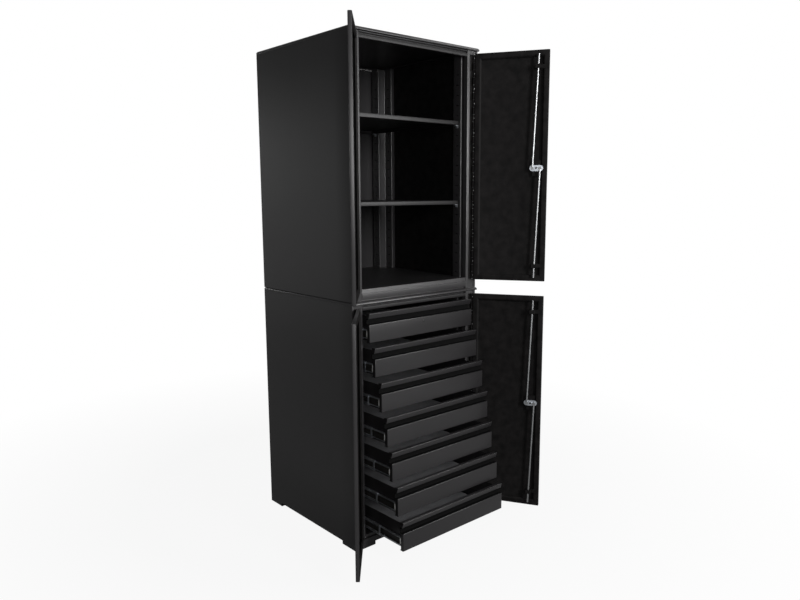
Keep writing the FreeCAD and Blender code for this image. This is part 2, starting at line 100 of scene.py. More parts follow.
class FinishSettings(bpy.types.PropertyGroup):
    """Colours and gloss of the cabinet's finishes."""
    paint_hex: bpy.props.StringProperty(name="Powder coat", default="#222122",
                                        description="Satin black of the carcass and doors, as sRGB hex")
    drawer_hex: bpy.props.StringProperty(name="Drawer coat", default="#181718",
                                         description="Satin black of the drawers, as sRGB hex")
    # Thin coat: a darker, flatter black, painted shade on the insides of the doors and side walls, with a real mottle;
    # also the own black of the hinge leaves, knuckles and lock guides.
    thin_hex: bpy.props.StringProperty(name="Thin coat", default="#0c0b0b",
                                       description="Dry, thin coat inside the doors and sides, as sRGB hex")
    # Shelf coat: a flatter, darker black, painted shade on the shelves, the header rails behind the caps' lips and the
    # upper deck.
    shelf_hex: bpy.props.StringProperty(name="Shelf coat", default="#111011",
                                        description="Flatter black of the shelves and headers, as sRGB hex")
    handle_hex: bpy.props.StringProperty(name="Handle enamel", default="#141414",
                                         description="Gloss black of the handles and the plug, as sRGB hex")
    # Painted shade: a near-black coat in the drawers' finger grooves stands in for the shadow under the lips.
    recess_hex: bpy.props.StringProperty(name="Recess coat", default="#050505",
                                         description="Dry spray deep in the drawers' finger grooves, as sRGB hex")
    # Painted shade: a dark coat on the slides' webs stands in for the shade inside the channels.
    grease_hex: bpy.props.StringProperty(name="Grease", default="#1d1c1a",
                                         description="Dark grease on the slides' webs, as sRGB hex")
    zinc_hex: bpy.props.StringProperty(name="Zinc plate", default="#c3c6c9",
                                       description="Bright zinc of the slides and lock plates, as sRGB hex")
    steel_hex: bpy.props.StringProperty(name="Drawn steel", default="#929394",
                                        description="Bare steel of the rods and pins, as sRGB hex")
    nylon_hex: bpy.props.StringProperty(name="Nylon", default="#f2f2ef",
                                        description="Pale nylon of the slides' stops, as sRGB hex")
    mat_hex: bpy.props.StringProperty(name="Drawer mat", default="#78787a",
                                      description="Grey of the drawers' ribbed mats, as sRGB hex")
    paint_roughness: bpy.props.FloatProperty(name="Paint roughness", default=0.34, min=0, max=1,
                                             description="Gloss of the powder coat", subtype="FACTOR")
    peel_size: bpy.props.FloatProperty(name="Peel size", default=2.4 * MM, unit="LENGTH",
                                       description="Spacing of the powder coat's orange peel")


class SheetSettings(bpy.types.PropertyGroup):
    """Sheet metal of the cabinet."""
    sheet: bpy.props.FloatProperty(name="Sheet", default=1.5 * MM, unit="LENGTH",
                                   description="Thickness of the carcass and drawer sheet")
    door_sheet: bpy.props.FloatProperty(name="Door sheet", default=1.2 * MM, unit="LENGTH",
                                        description="Thickness of the door sheet")
    fold_radius: bpy.props.FloatProperty(name="Fold radius", default=2.4 * MM, unit="LENGTH",
                                         description="Outer radius of the folds")
    cap_radius: bpy.props.FloatProperty(name="Cap radius", default=8 * MM, unit="LENGTH",
                                        description="Radius of the caps' rounded edges")
    fold_steps: bpy.props.IntProperty(name="Fold steps", default=4, min=1, max=8,
                                      description="Faces across each fold")


class StageSettings(bpy.types.PropertyGroup):
    """Camera and light of the studio."""
    camera_place: bpy.props.FloatVectorProperty(name="Camera place", default=(-1.911, -2.722, 1.406),
                                                subtype="TRANSLATION", unit="LENGTH",
                                                description="Where the camera stands")
    camera_yaw: bpy.props.FloatProperty(name="Yaw", default=math.radians(41.04), subtype="ANGLE",
                                        description="Turn of the camera from +Y towards +X")
    camera_pitch: bpy.props.FloatProperty(name="Pitch", default=math.radians(-8.63), subtype="ANGLE",
                                          description="Tilt of the camera above the horizon")
    camera_roll: bpy.props.FloatProperty(name="Roll", default=math.radians(-0.316), subtype="ANGLE",
                                         description="Roll of the camera")
    lens: bpy.props.FloatProperty(name="Lens", default=31.57, description="Focal length in mm on a 36 mm sensor")
    key_power: bpy.props.FloatProperty(name="Key light", default=85, description="Right softbox, in watts")
    fill_power: bpy.props.FloatProperty(name="Fill light", default=165, description="Front strip, in watts")
    left_power: bpy.props.FloatProperty(name="Left light", default=30, description="Left softbox, in watts")
    top_power: bpy.props.FloatProperty(name="Top light", default=22, description="Overhead softbox, in watts")
    high_power: bpy.props.FloatProperty(name="High light", default=20, description="High right softbox, in watts")
    side_power: bpy.props.FloatProperty(name="Side light", default=11, description="Left rear panel, in watts")
    rear_power: bpy.props.FloatProperty(name="Rear light", default=45, description="Rear softbox, in watts")


def settings(group):
    """A property group of the scene."""
    return getattr(bpy.context.scene, "cabinet_" + group)


def linear(text):
    """Linear colour from an sRGB hex value."""
    values = [int(text[i:i + 2], 16) / 255 for i in (1, 3, 5)]
    return tuple(v / 12.92 if v <= 0.04045 else ((v + 0.055) / 1.055) ** 2.4 for v in values) + (1.0,)


def add_node(tree, kind, values=None, links=None, **options):
    """A shader node with its settings, socket values and incoming links."""
    node = tree.nodes.new(kind)
    for name, value in options.items():
        setattr(node, name, value)
    for name, value in (values or {}).items():
        node.inputs[name].default_value = value
    for name, source in (links or {}).items():
        tree.links.new(source, node.inputs[name])
    return node


def new_material(name):
    """A material emptied of nodes, and its node tree."""
    material = bpy.data.materials.new(name)
    material.use_nodes = True
    material.node_tree.nodes.clear()
    return material, material.node_tree


def object_place(tree):
    """Object coordinates, in metres."""
    return add_node(tree, "ShaderNodeTexCoord").outputs["Object"]


def stretched(tree, where, sizes):
    """Coordinates in which each axis counts in its own size."""
    scale = tuple(1 / size for size in sizes)
    return add_node(tree, "ShaderNodeMapping", {"Scale": scale}, {"Vector": where}).outputs["Vector"]


def noise(tree, where, size, detail):
    """Noise with blotches of one size."""
    return add_node(tree, "ShaderNodeTexNoise", {"Scale": 1 / size, "Detail": detail}, {"Vector": where}).outputs["Fac"]


def shades(tree, source, colour, dark, bright, low=0.3, high=0.7):
    """A colour ramp between two shades of an sRGB hex colour; a shade is one factor, or one for each channel."""
    ramp = add_node(tree, "ShaderNodeValToRGB", links={"Fac": source})
    for stop, position, shade in zip(ramp.color_ramp.elements, (low, high), (dark, bright)):
        factors = shade if isinstance(shade, tuple) else (shade,) * 3
        stop.position = position
        stop.color = [v * factor for v, factor in zip(linear(colour), factors)] + [1]
    return ramp.outputs["Color"]


def spread(tree, source, least, most, low=0.0, high=1.0):
    """A value mapped to the range from least to most."""
    limits = {"From Min": low, "From Max": high, "To Min": least, "To Max": most}
    return add_node(tree, "ShaderNodeMapRange", limits, {"Value": source}).outputs["Result"]


def relief(tree, source, strength, depth):
    """Normals of a fine relief."""
    return add_node(tree, "ShaderNodeBump", {"Strength": strength, "Distance": depth},
                    {"Height": source}).outputs["Normal"]


def principled(material, tree, values, links):
    """The material with its surface shader and output."""
    shader = add_node(tree, "ShaderNodeBsdfPrincipled", values, links)
    add_node(tree, "ShaderNodeOutputMaterial", links={"Surface": shader.outputs["BSDF"]})
    return material


def powder_coat(name, colour, roughness, peel, sheen=0.5, depth=0.12 * MM, mottle=(180 * MM, 0.93, 1.07, 0.015)):
    """Polyester powder coat, sprayed and baked on steel: satin, with a soft orange peel and a faint mottle."""
    material, tree = new_material(name)
    where = object_place(tree)
    patch, dark, bright, swing = mottle
    orange_peel = noise(tree, where, peel, 2.0)
    cloud = noise(tree, where, patch, 4.0)
    return principled(material, tree, {"IOR": 1.5, "Specular IOR Level": sheen},
                      {"Base Color": shades(tree, cloud, colour, dark, bright),
                       "Roughness": spread(tree, cloud, roughness - swing, roughness + swing, 0.3, 0.7),
                       "Normal": relief(tree, orange_peel, 0.22, depth)})


def zinc_plate(name, colour):
    """Steel plated with bright zinc in a barrel: pale, faintly clouded, with fine spangle."""
    material, tree = new_material(name)
    where = object_place(tree)
    spangle = add_node(tree, "ShaderNodeTexVoronoi", {"Scale": 1 / (5 * MM)}, {"Vector": where}).outputs["Distance"]
    cloud = noise(tree, where, 22 * MM, 4.0)
    return principled(material, tree, {"Metallic": 1.0},
                      {"Base Color": shades(tree, cloud, colour, (0.8, 0.82, 0.87), 1.0),
                       "Roughness": spread(tree, spangle, 0.34, 0.5),
                       "Normal": relief(tree, cloud, 0.1, 0.05 * MM)})


def drawn_steel(name, colour):
    """Cold drawn steel bar: bright, with faint draw lines along its length."""
    material, tree = new_material(name)
    lines = noise(tree, stretched(tree, object_place(tree), (0.8 * MM, 0.8 * MM, 60 * MM)), 1.0, 3.0)
    return principled(material, tree, {"Metallic": 1.0},
                      {"Base Color": shades(tree, lines, colour, 0.82, 1.0, 0.3, 0.65),
                       "Roughness": spread(tree, lines, 0.36, 0.52)})


def moulded_nylon(name, colour):
    """Nylon, injection moulded: pale and waxy, with the mould's fine spark grain."""
    material, tree = new_material(name)
    grain = noise(tree, object_place(tree), 0.9 * MM, 2.0)
    return principled(material, tree, {"IOR": 1.53},
                      {"Base Color": shades(tree, grain, colour, 0.9, 1.0, 0.0, 1.0),
                       "Roughness": spread(tree, grain, 0.42, 0.58),
                       "Normal": relief(tree, grain, 0.2, 0.05 * MM)})


def shaded_web_steel(name, colour):
    """Rolled steel, dark as painted shade for the slides' webs, with glossier and duller streaks along the track."""
    material, tree = new_material(name)
    streaks = noise(tree, stretched(tree, object_place(tree), (4 * MM, 45 * MM, 4 * MM)), 1.0, 3.0)
    return principled(material, tree, {"IOR": 1.47, "Specular IOR Level": 0.3},
                      {"Base Color": shades(tree, streaks, colour, 0.6, 1.6, 0.3, 0.75),
                       "Roughness": spread(tree, streaks, 0.25, 0.6)})


def extruded_rubber(name, colour):
    """Filled rubber, extruded with ribs: matt grey, speckled with dust and worn in patches."""
    material, tree = new_material(name)
    where = object_place(tree)
    dust = noise(tree, where, 3 * MM, 5.0)
    wear = noise(tree, where, 90 * MM, 2.0)
    both = add_node(tree, "ShaderNodeMath", links={0: dust, 1: wear}, operation="MULTIPLY").outputs[0]
    return principled(material, tree, {"IOR": 1.52, "Roughness": 0.78, "Specular IOR Level": 0.3},
                      {"Base Color": shades(tree, both, colour, 0.8, 1.2, 0.12, 0.42),
                       "Normal": relief(tree, dust, 0.3, 0.2 * MM)})


FINISHES = {}


def finish(name):
    """A finish by name, made on first use."""
    if name not in FINISHES:
        look = settings("finish")
        rough, peel = look.paint_roughness, look.peel_size
        makers = {
            "carcass_paint": lambda: powder_coat("powder_coat_black", look.paint_hex, rough, peel),
            "drawer_paint": lambda: powder_coat("powder_coat_drawers", look.drawer_hex, rough - 0.02, peel),
            "door_paint": lambda: powder_coat("powder_coat_doors", look.paint_hex, rough + 0.02, peel),
            # The thin coat: painted shade inside the doors and walls, with a real mottle, and the flat black of hinges
            # and lock guides.
            "thin_paint": lambda: powder_coat("powder_coat_thin", look.thin_hex, 0.68, peel * 3, 0.1, 0.5 * MM,
                                              (30 * MM, 0.5, 1.9, 0.05)),
            # Painted shade: darker black of the shelves, header rails and upper deck inside the bay.
            "shelf_paint": lambda: powder_coat("powder_coat_shelves", look.shelf_hex, rough + 0.12, peel, 0.3),
            # Painted shade for the finger grooves under the drawers' lips.
            "recess_paint": lambda: powder_coat("powder_coat_recess", look.recess_hex, 0.75, peel, 0.05),
            "handle_paint": lambda: powder_coat("enamelled_die_cast", look.handle_hex, 0.3, peel * 2),
            # Painted shade for the slides' webs.
            "grease": lambda: shaded_web_steel("greased_rolled_steel", look.grease_hex),
            "nylon": lambda: moulded_nylon("moulded_nylon", look.nylon_hex),
            "mat": lambda: extruded_rubber("extruded_rubber", look.mat_hex),
            "zinc": lambda: zinc_plate("bright_zinc_plate", look.zinc_hex),
            "bright_steel": lambda: drawn_steel("cold_drawn_steel", look.steel_hex),
        }
        FINISHES[name] = makers[name]()
    return FINISHES[name]


def coat_node(node, name):
    """Give a CAD node its finish."""
    slots = frame["nodes"][node].data.materials
    slots.clear()
    slots.append(finish(name))


def rings(rects, place):
    """A surface through nested rectangles (a0, a1, b0, b1, depth), closed over the first."""
    points = []
    for a0, a1, b0, b1, depth in rects:
        points += [place(a0, b0, depth), place(a1, b0, depth), place(a1, b1, depth), place(a0, b1, depth)]
    faces = [[0, 1, 2, 3]]
    for ring in range(len(rects) - 1):
        for i in range(4):
            j = (i + 1) % 4
            faces.append([4 * ring + i, 4 * ring + j, 4 * ring + 4 + j, 4 * ring + 4 + i])
    return points, faces


def swept(path, levels, place, skip=()):
    """A surface that carries a path through levels; skip lists (segment, level) gaps."""
    points = [place(u, v, level) for level in levels for u, v in path]
    count = len(path)
    faces = []
    for k in range(len(levels) - 1):
        for i in range(count - 1):
            if (i, k) not in skip:
                faces.append([k * count + i, k * count + i + 1, (k + 1) * count + i + 1, (k + 1) * count + i])
    return points, faces


def sheet_piece(name, islands, thickness, coat, body, nodes, inside=None, deep=None):
    """Folded sheet from surfaces: folds rounded, sheet given its thickness away from the seen side.

    Each island is (points, faces, seen) and may add a radius for the folds round its first face; seen is a point on
    the seen side of that face. The last argument is a finish and a test by middle and normal of the faces that get it:
    a darker coat that paints shade in recesses, under lips and on insides."""
    look = settings("sheet")
    mesh = bpy.data.meshes.new(name)
    whole = bmesh.new()
    for points, faces, seen, *round_first in islands:
        part = bmesh.new()
        corners = [part.verts.new(p) for p in points]
        for face in faces:
            part.faces.new([corners[i] for i in face])
        loose = [v for v in part.verts if not v.link_faces]
        bmesh.ops.delete(part, geom=loose, context="VERTS")
        bmesh.ops.remove_doubles(part, verts=part.verts, dist=1e-6)
        bmesh.ops.recalc_face_normals(part, faces=part.faces)
        part.faces.ensure_lookup_table()
        first = part.faces[0]
        if (Vector(seen) - first.calc_center_median()).dot(first.normal) < 0:
            bmesh.ops.reverse_faces(part, faces=part.faces)
        sharp = 15
        for radius in round_first:
            bmesh.ops.bevel(part, geom=list(first.edges), offset=radius, offset_type="OFFSET",
                            segments=look.fold_steps, profile=0.5, affect="EDGES", clamp_overlap=True)
            sharp = 40
        folds = [e for e in part.edges if len(e.link_faces) == 2 and e.calc_face_angle() > math.radians(sharp)]
        bmesh.ops.bevel(part, geom=folds, offset=look.fold_radius, offset_type="OFFSET",
                        segments=look.fold_steps, profile=0.5, affect="EDGES", clamp_overlap=True)
        piece_mesh = bpy.data.meshes.new(name + "_part")
        part.to_mesh(piece_mesh)
        part.free()
        whole.from_mesh(piece_mesh)
        bpy.data.meshes.remove(piece_mesh)
    whole.to_mesh(mesh)
    whole.free()
    mesh.materials.append(finish(coat))
    mesh.materials.append(finish(inside or coat))
    # The extra coat paints shade on the faces its test picks.
    if deep:
        mesh.materials.append(finish(deep[0]))
        for face in mesh.polygons:
            face.material_index = 2 if deep[1](face.center, face.normal) else 0
    thing = bpy.data.objects.new(name, mesh)
    bpy.context.scene.collection.objects.link(thing)
    sheet = thing.modifiers.new("sheet", "SOLIDIFY")
    sheet.thickness = thickness
    sheet.offset = -1
    sheet.use_even_offset = True
    sheet.use_quality_normals = True
    sheet.material_offset = 1
    return settle(thing, body, nodes)


def settle(thing, body, nodes):
    """Bake a piece's modifiers into its mesh, smooth it, and hand it to its body."""
    bpy.context.view_layer.update()
    graph = bpy.context.evaluated_depsgraph_get()
    baked = bpy.data.meshes.new_from_object(thing.evaluated_get(graph))
    thing.modifiers.clear()
    thing.data = baked
    baked.name = thing.name
    baked.polygons.foreach_set("use_smooth", [True] * len(baked.polygons))
    baked.set_sharp_from_angle(angle=math.radians(32))
    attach(thing, body)
    if nodes:
        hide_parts(*nodes)
    return thing


def built_piece(name, bm, coat, body):
    """A piece from a built mesh."""
    mesh = bpy.data.meshes.new(name)
    bmesh.ops.recalc_face_normals(bm, faces=bm.faces)
    bm.to_mesh(mesh)
    bm.free()
    mesh.materials.append(finish(coat))
    thing = bpy.data.objects.new(name, mesh)
    bpy.context.scene.collection.objects.link(thing)
    return settle(thing, body, [])


def turned_piece(name, parts, coat, body, steps=20):
    """Round pieces in one mesh, from (profile, place): pairs of radius and height, and a map of (x, y, height)."""
    bm = bmesh.new()
    for profile, place in parts:
        rows = []
        for radius, height in profile:
            turns = [2 * math.pi * i / steps for i in range(steps)]
            rows.append([bm.verts.new(place(radius * math.cos(t), radius * math.sin(t), height)) for t in turns])
        for low, high in zip(rows, rows[1:]):
            for i in range(steps):
                j = (i + 1) % steps
                bm.faces.new([low[i], low[j], high[j], high[i]])
        bm.faces.new(rows[0])
        bm.faces.new(rows[-1])
    return built_piece(name, bm, coat, body)


def solid_piece(name, prisms, coat, body, radius=0.0):
    """Closed prisms in one mesh, from (outline, level, level, place), with their edges rounded if a radius is given."""
    bm = bmesh.new()
    for outline, near, far, place in prisms:
        ends = [[bm.verts.new(place(u, v, level)) for u, v in outline] for level in (near, far)]
        count = len(outline)
        for i in range(count):
            j = (i + 1) % count
            bm.faces.new([ends[0][i], ends[0][j], ends[1][j], ends[1][i]])
        bm.faces.new(ends[0])
        bm.faces.new(ends[1])
    bmesh.ops.recalc_face_normals(bm, faces=bm.faces)
    if radius:
        bmesh.ops.bevel(bm, geom=list(bm.edges), offset=radius, offset_type="OFFSET", segments=3, profile=0.5,
                        affect="EDGES", clamp_overlap=True)
    return built_piece(name, bm, coat, body)


def mirror_place(way):
    """A place function for plan paths on the right (1) or left (-1) side."""
    return lambda u, v, level: (way * u, v, level)


def door_place(half, side):
    """Door coordinates (from axis, height, depth from mid-thickness) to the row frame at rest."""
    joint = JOINTS[half + "_" + side + "_door_hinge"]
    way = 1 if side == "right" else -1
    turn = math.radians(OPEN_LIMIT - joint["range_deg"][1])
    x, y = abs(joint["pos_m"][0]), joint["pos_m"][1]
    cosine, sine = math.cos(turn), math.sin(turn)

    def place(along, height, depth):
        px = x - along * cosine - depth * sine
        py = y - along * sine + depth * cosine
        return way * px, py, height
    return place


class CABINET_OT_carcass(bpy.types.Operator):
    """Fold the side walls, caps and floors of both carcasses."""
    bl_idname = "cabinet.carcass"
    bl_label = "Carcass"

    def execute(self, context):
        sheet = settings("sheet").sheet
        strip_y = FRONT + 10 * MM
        notch = 15 * MM
        foot = 88 * MM
        path = [(WALL_X, -sheet), (WALL_X, -foot), (WALL_X, strip_y + foot), (WALL_X, strip_y),
                (STRIP_IN, strip_y), (STRIP_IN, FRAME_Y), (OPEN_X, FRAME_Y), (OPEN_X, JAMB_END)]
        for way, side in ((-1, "left"), (1, "right")):
            place = mirror_place(way)
            seen = (way * 1.0, -0.05, 0.5)
            # The walls' inner faces, upper and lower, take the thin coat: painted shade inside the carcass.
            low = UPPER_SIDE_LOW.z
            points, faces = swept(path, [low, UPPER_SIDE_HIGH.z], place)
            sheet_piece("upper_side_" + side + "_sheet", [(points, faces, (way, -0.05, low + 0.5))], sheet,
                        "carcass_paint", "cabinet", ["upper_side_" + side], "thin_paint")
            points, faces = swept(path, [0, notch, SIDE_HIGH.z], place, skip=[(1, 0)])
            base = len(points)
            inner = WALL_X - 20 * MM
            for near, far in ((-sheet, -foot), (strip_y + foot, strip_y)):
                points += [place(WALL_X, near, 0), place(WALL_X, far, 0), place(inner, far, 0), place(inner, near, 0)]
                faces.append([base, base + 1, base + 2, base + 3])
                base += 4
            sheet_piece("lower_side_" + side + "_sheet", [(points, faces, seen)], sheet, "carcass_paint", "cabinet",
                        ["lower_side_" + side], "thin_paint")
        for half, top in (("upper", CAP_HIGH.z), ("lower", LOWER_CAP_HIGH.z)):
            self.cap(half, top, sheet)
        self.floors(sheet)
        self.uprights(sheet)
        for node in ("upper_back", "lower_back"):
            coat_node(node, "carcass_paint")
        coat_node("hinge_leaves", "thin_paint")
        return {"FINISHED"}

    def cap(self, half, top, sheet):
        lip = top - 12 * MM
        fold = 21.5 * MM
        wide = CAP_HIGH.x
        lid = rings([(-wide, wide, FRONT, 0, top), (-wide, wide, FRONT, 0, lip),
                     (-wide + fold, wide - fold, FRONT + fold, -fold, lip)], lambda a, b, d: (a, b, d))
        strip = lip - 4 * MM
        rail_top = strip - 6 * MM
        rail = rail_top - 14 * MM
        groove = FRAME_Y + 10 * MM
        path = [(FRAME_Y, lip + sheet), (FRAME_Y, strip), (groove, strip), (groove, rail_top), (FRAME_Y, rail_top),
                (FRAME_Y, rail), (FRAME_Y + 13 * MM, rail)]
        header = swept(path, [-OPEN_X, OPEN_X], lambda u, v, level: (level, u, v))
        islands = [lid + ((0, FRONT / 2, top + 1), settings("sheet").cap_radius), header + ((0, FRONT - 1, strip),)]
        # The header rails' fronts behind the lip take the darker coat: painted shade under the cap.
        shaded_rails = ("shelf_paint", lambda at, normal: FRAME_Y - 1 * MM < at.y < groove + 1 * MM and normal.y < -0.9)
        sheet_piece(half + "_cap_sheet", islands, sheet, "carcass_paint", "cabinet", [half + "_cap"],
                    deep=shaded_rails)

    def floors(self, sheet):
        top = UPPER_FLOOR_HIGH.z
        base = LOWER_CAP_HIGH.z
        band_top, band_low = base + 29 * MM, base + 6 * MM
        step, foot = FRAME_Y + 2 * MM, FRAME_Y + 10 * MM
        across = lambda u, v, level: (level, u, v)
        path = [(JAMB_END, top), (step, top), (step, band_top), (FRAME_Y, band_top), (FRAME_Y, band_low),
                (foot, band_low), (foot, base)]
        sill = swept(path, [-OPEN_X, OPEN_X], across)
        inner = WALL_X - sheet
        deck = swept([(JAMB_END, top), (-sheet, top)], [-inner, inner], across)
        above = (0, -0.3, top + 1)
        # The deck inside the upper bay takes the darker coat: painted shade.
        shaded_deck = ("shelf_paint", lambda at, normal: normal.z > 0.9 and at.y > JAMB_END)
        sheet_piece("upper_floor_sheet", [sill + ((0, JAMB_END, top + 1),), deck + (above,)], sheet, "carcass_paint",
                    "cabinet", ["upper_floor"], deep=shaded_deck)
        top = LOWER_FLOOR_HIGH.z
        ledge, notch = 38 * MM, 15 * MM
        plinth = LOWER_FLOOR_LOW.y
        sill = swept([(JAMB_END, top), (FRAME_Y, top), (FRAME_Y, ledge - sheet)], [-OPEN_X, OPEN_X], across)
        deck = swept([(JAMB_END, top), (-sheet, top)], [-inner, inner], across)
        shelf = swept([(FRAME_Y, ledge), (plinth + 0.1 * MM, ledge)], [-STRIP_IN, STRIP_IN], across)
        toe = WALL_X - 100 * MM
        face = swept([(-WALL_X, 0), (-toe, 0), (toe, 0), (WALL_X, 0)], [0, notch, ledge],
                     lambda u, v, level: (u, plinth, level), skip=[(1, 0)])
        sheet_piece("lower_floor_sheet",
                    [sill + ((0, JAMB_END, top + 1),), deck + ((0, -0.3, top + 1),), shelf + ((0, FRAME_Y, 1),),
                     face + ((0, plinth - 1, 0),)], sheet, "carcass_paint", "cabinet", ["lower_floor"])

    def uprights(self, sheet):
        face, wall = OPEN_X - 5.5 * MM, WALL_X - sheet
        wide, shoulder, inset = 45 * MM, 47 * MM, 40 * MM
        upper = (UPPER_FLOOR_HIGH.z, CAP_HIGH.z - 12 * MM, UPPER_FLOOR_HIGH.z + 20.75 * MM, 41.5 * MM)
        lower = (LOWER_FLOOR_HIGH.z, LOWER_CAP_HIGH.z - 12 * MM, 98.5 * MM, 43 * MM)
        islands = []
        for (bottom, top, first, pitch), near, stepped in ((upper, FRONT + 46 * MM, False), (upper, -57 * MM, True),
                                                           (lower, FRONT + 62 * MM, False), (lower, -150 * MM, False)):
            half = 7 * MM
            middle = near + wide / 2
            path = [(wall, near + wide), (face, near + wide), (face, middle + half), (face, middle - half),
                    (face, near), (wall, near)]
            slotted = [2]
            if stepped:
                middle = near - shoulder / 2
                path[-1] = (face + inset, near)
                path += [(face + inset, middle + half), (face + inset, middle - half), (face + inset, near - shoulder),
                         (wall, near - shoulder)]
                slotted.append(6)
            levels = [bottom]
            for row in range(int((top - 70 * MM - first) / pitch) + 1):
                levels += [first + row * pitch - 2 * MM, first + row * pitch + 2 * MM]
            levels.append(top)
            gaps = {(segment, level) for segment in slotted for level in range(1, len(levels) - 1, 2)}
            for way in (-1, 1):
                points, faces = swept(path, levels, mirror_place(way), gaps)
                islands.append((points, faces, (way * face, near + 1, bottom)))
        sheet_piece("uprights_sheet", islands, sheet, "carcass_paint", "cabinet", ["uprights"])


class CABINET_OT_shelves(bpy.types.Operator):
    """Fold the two shelves."""
    bl_idname = "cabinet.shelves"
    bl_label = "Shelves"

    def execute(self, context):
        sheet = settings("sheet").sheet
        hem = 10 * MM
        for node in ("shelf_low", "shelf_high"):
            low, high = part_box(node)
            tray = rings([(low.x, high.x, low.y, high.y, high.z), (low.x, high.x, low.y, high.y, low.z),
                          (low.x + hem, high.x - hem, low.y + hem, high.y - hem, low.z)], lambda a, b, d: (a, b, d))
            # The shelves take the darker coat: painted shade inside the bay.
            sheet_piece(node + "_tray", [tray + ((0, low.y / 2, high.z + 1),)], sheet, "shelf_paint", "cabinet",
                        [node])
        return {"FINISHED"}


class CABINET_OT_doors(bpy.types.Operator):
    """Fold the four door pans and roll their hinge knuckles."""
    bl_idname = "cabinet.doors"
    bl_label = "Doors"

    def execute(self, context):
        sheet = settings("sheet").door_sheet
        near, lip, slant = 6 * MM, 20 * MM, 5.6 * MM
        half_thick = 7.5 * MM
        for half in HALVES:
            for side in ("left", "right"):
                node = half + "_door_" + side
                place = door_place(half, side)
                low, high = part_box(node)
                far = abs(JOINTS[half + "_right_door_hinge"]["pos_m"][0]) - 1.5 * MM
                rects = [(near, far, low.z, high.z, -half_thick), (near, far, low.z, high.z, half_thick)]
                for inset, depth in ((lip, half_thick), (lip + slant, half_thick - slant)):
                    rects.append((near + inset, far - inset, low.z + inset, high.z - inset, depth))
                pan = rings(rects, place)
                body = half + "_" + side + "_door"
                inward = (Vector(place(0, 0, 1)) - Vector(place(0, 0, 0))).normalized()
                # The door's inner faces take the thin coat: painted shade on the open doors' insides.
                shaded_lips = ("thin_paint", lambda at, normal: normal.dot(inward) > 0.5)
                sheet_piece(node + "_pan", [pan + (place(far / 2, low.z, -1),)], sheet, "door_paint", body,
                            [node], "thin_paint", shaded_lips)
                self.knuckles(node, place, body, low.z, high.z)
        return {"FINISHED"}

    def knuckles(self, node, place, body, low, high):
        pitch, length = 60 * MM, 29 * MM
        count = int((high - low - length) / pitch) + 1
        first = (low + high) / 2 - (count - 1) * pitch / 2 - length / 2
        bm = bmesh.new()
        steps = 20
        for number in range(count):
            z0 = first + number * pitch
            rows = []
            for radius, z in ((2.55 * MM, z0), (4.1 * MM, z0), (4.5 * MM, z0 + 0.4 * MM),
                              (4.5 * MM, z0 + length - 0.4 * MM), (4.1 * MM, z0 + length), (2.55 * MM, z0 + length)):
                rows.append([bm.verts.new(place(radius * math.cos(2 * math.pi * i / steps), z,
                                                radius * math.sin(2 * math.pi * i / steps))) for i in range(steps)])
            for a, b in zip(rows, rows[1:] + rows[:1]):
                for i in range(steps):
                    j = (i + 1) % steps
                    bm.faces.new([a[i], a[j], b[j], b[i]])
            web = [bm.verts.new(place(along, z, depth)) for along in (3.6 * MM, 7 * MM)
                   for z in (z0, z0 + length) for depth in (-1.5 * MM, 1.5 * MM)]
            for face in ((0, 1, 3, 2), (4, 6, 7, 5), (0, 4, 5, 1), (2, 3, 7, 6), (0, 2, 6, 4), (1, 5, 7, 3)):
                bm.faces.new([web[i] for i in face])
        built_piece(node + "_knuckles", bm, "thin_paint", body)
        dot = [(2.0 * MM, 0), (1.9 * MM, 0.35 * MM), (1.2 * MM, 0.7 * MM), (0.3 * MM, 0.8 * MM)]
        out, side = (0.75, 0.66), (-0.66, 0.75)
        middles = [first + number * pitch + length / 2 for number in range(count)]
        turned_piece(node + "_stakes",
                     [(dot, lambda a, b, h, z=z: place(4.4 * MM * out[0] + b * side[0] + h * out[0], z + a,
                                                       4.4 * MM * out[1] + b * side[1] + h * out[1]))
                      for z in middles], "bright_steel", body, 12)


